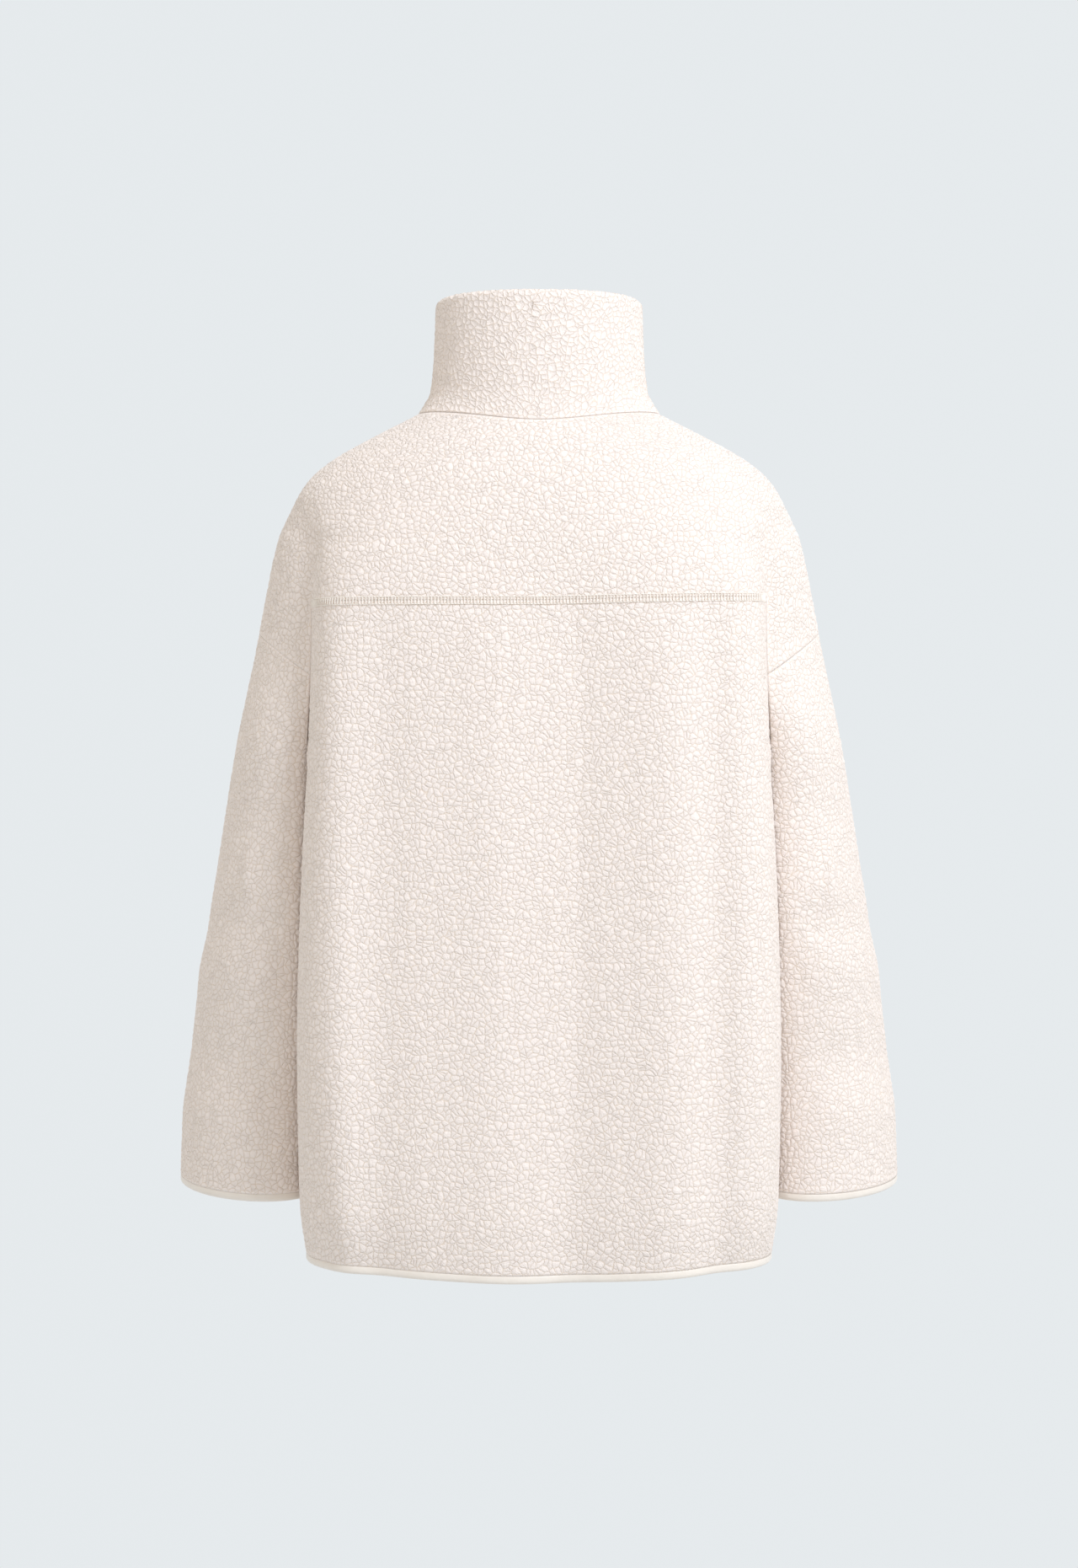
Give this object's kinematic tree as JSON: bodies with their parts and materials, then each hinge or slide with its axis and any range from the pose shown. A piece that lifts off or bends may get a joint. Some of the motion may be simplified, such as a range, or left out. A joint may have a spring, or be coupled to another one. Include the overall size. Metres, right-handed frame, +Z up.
{
  "type": "faux shearling jacket",
  "caption": "Hip-length cream faux shearling jacket in its worn shape, with a tall stand collar, a back yoke, dropped shoulders, bound hem and cuffs, and a full-length front zip.",
  "frame": {"origin": "on the midline at the height of the side neck seams, where the wearer's shoulders carry the jacket", "axes": "+Z up the wearer's back, +Y out of the back of the jacket, +X towards the wearer's left sleeve"},
  "size_m": [0.646, 0.2773, 0.8458],
  "materials": {
    "fleece": "curled faux shearling pile, matt",
    "binding": "smooth cream binding with a soft sheen",
    "zip_tape": "woven tape",
    "zip_moulded": "cream moulded teeth",
    "zip_metal": "satin metal"
  },
  "bodies": {
    "jacket": {"back": "fleece", "yoke": "fleece", "front_left": "fleece", "front_right": "fleece", "sleeve_left": "fleece", "sleeve_right": "fleece", "collar": "fleece", "hem_binding": "binding", "cuff_binding_left": "binding", "cuff_binding_right": "binding", "zip_tape_left": "zip_tape", "zip_tape_right": "zip_tape", "zip_chain_left": "zip_moulded", "zip_chain_right": "zip_moulded", "zip_box": "zip_moulded", "zip_slider": "zip_metal"},
    "pull": {"zip_pull": "zip_metal"}
  },
  "joints": [
    {"name": "zip_pull_hinge", "type": "hinge", "parent": "jacket", "child": "pull", "pos_m": [0, -0.08433, 0.05806], "axis": [-1, 0, 0], "range_deg": [0, 165]}
  ]
}
